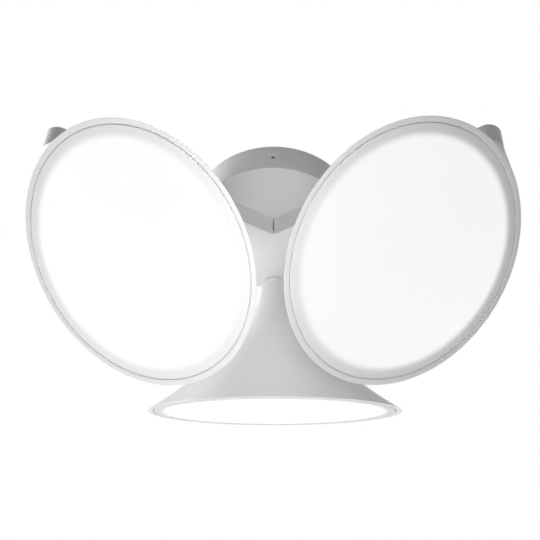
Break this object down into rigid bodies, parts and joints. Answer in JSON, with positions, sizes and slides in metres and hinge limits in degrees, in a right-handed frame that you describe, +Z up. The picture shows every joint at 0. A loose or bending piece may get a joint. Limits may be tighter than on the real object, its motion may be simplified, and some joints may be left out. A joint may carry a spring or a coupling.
{
  "type": "ceiling light",
  "caption": "White ceiling light: a round rose carries a frame of slim arms, and a flared lamp head with an opal lighting face turns about an upright pivot under each arm.",
  "frame": {"origin": "middle of the face that lies against the ceiling", "axes": "+Z up into the ceiling; +Y along the rear arm; +X towards the right-hand head"},
  "size_m": [0.4378, 0.4119, 0.2098],
  "materials": {
    "white_lacquer_steel": "satin",
    "white_lacquer_abs": "satin",
    "opal_diffuser": "satin",
    "zinc_plate": "satin",
    "steel_screw": "satin",
    "spring_steel": "satin",
    "brass": "satin",
    "aluminium_plate": "satin",
    "black_rubber": "matte",
    "white_nylon": "matte",
    "white_casing": "satin",
    "green_board": "satin",
    "white_board": "satin",
    "led_phosphor": "satin",
    "white_sleeving": "satin"
  },
  "bodies": {
    "base": {"ceiling_plate": "zinc_plate", "cable_grommet": "black_rubber", "earth_screw": "brass", "ceiling_rose": "white_lacquer_steel", "rose_screws": "steel_screw", "driver_case": "white_casing", "driver_cover": "white_casing", "driver_board": "green_board", "driver_screws": "steel_screw", "terminal_block": "white_nylon", "terminal_screws": "brass", "rose_leads": "white_sleeving", "centre_nipple": "zinc_plate", "nipple_nuts": "zinc_plate", "frame_bolts": "steel_screw", "arm_frame": "white_lacquer_steel", "frame_lid": "white_lacquer_steel", "lid_screws": "steel_screw", "stop_pins": "steel_screw", "arm_leads": "white_sleeving"},
    "left_head": {"left_shade": "white_lacquer_abs", "left_diffuser": "opal_diffuser", "left_diffuser_springs": "spring_steel", "left_led_board": "white_board", "left_leds": "led_phosphor", "left_heat_plate": "aluminium_plate", "left_hanger": "zinc_plate", "left_plate_screws": "steel_screw", "left_pivot_tube": "brass", "left_pivot_nuts": "brass", "left_friction_washers": "white_nylon", "left_stop_washer": "steel_screw", "left_head_lead": "white_sleeving"},
    "right_head": {"right_shade": "white_lacquer_abs", "right_diffuser": "opal_diffuser", "right_diffuser_springs": "spring_steel", "right_led_board": "white_board", "right_leds": "led_phosphor", "right_heat_plate": "aluminium_plate", "right_hanger": "zinc_plate", "right_plate_screws": "steel_screw", "right_pivot_tube": "brass", "right_pivot_nuts": "brass", "right_friction_washers": "white_nylon", "right_stop_washer": "steel_screw", "right_head_lead": "white_sleeving"},
    "rear_head": {"rear_shade": "white_lacquer_abs", "rear_diffuser": "opal_diffuser", "rear_diffuser_springs": "spring_steel", "rear_led_board": "white_board", "rear_leds": "led_phosphor", "rear_heat_plate": "aluminium_plate", "rear_hanger": "zinc_plate", "rear_plate_screws": "steel_screw", "rear_pivot_tube": "brass", "rear_pivot_nuts": "brass", "rear_friction_washers": "white_nylon", "rear_stop_washer": "steel_screw", "rear_head_lead": "white_sleeving"}
  },
  "joints": [
    {"name": "left_head_turn", "type": "hinge", "parent": "base", "child": "left_head", "pos_m": [-0.11648, -0.06725, -0.054], "axis": [0, 0, 1], "range_deg": [-165, 165]},
    {"name": "right_head_turn", "type": "hinge", "parent": "base", "child": "right_head", "pos_m": [0.11648, -0.06725, -0.054], "axis": [0, 0, 1], "range_deg": [-165, 165]},
    {"name": "rear_head_turn", "type": "hinge", "parent": "base", "child": "rear_head", "pos_m": [0, 0.1345, -0.054], "axis": [0, 0, 1], "range_deg": [-165, 165]}
  ]
}
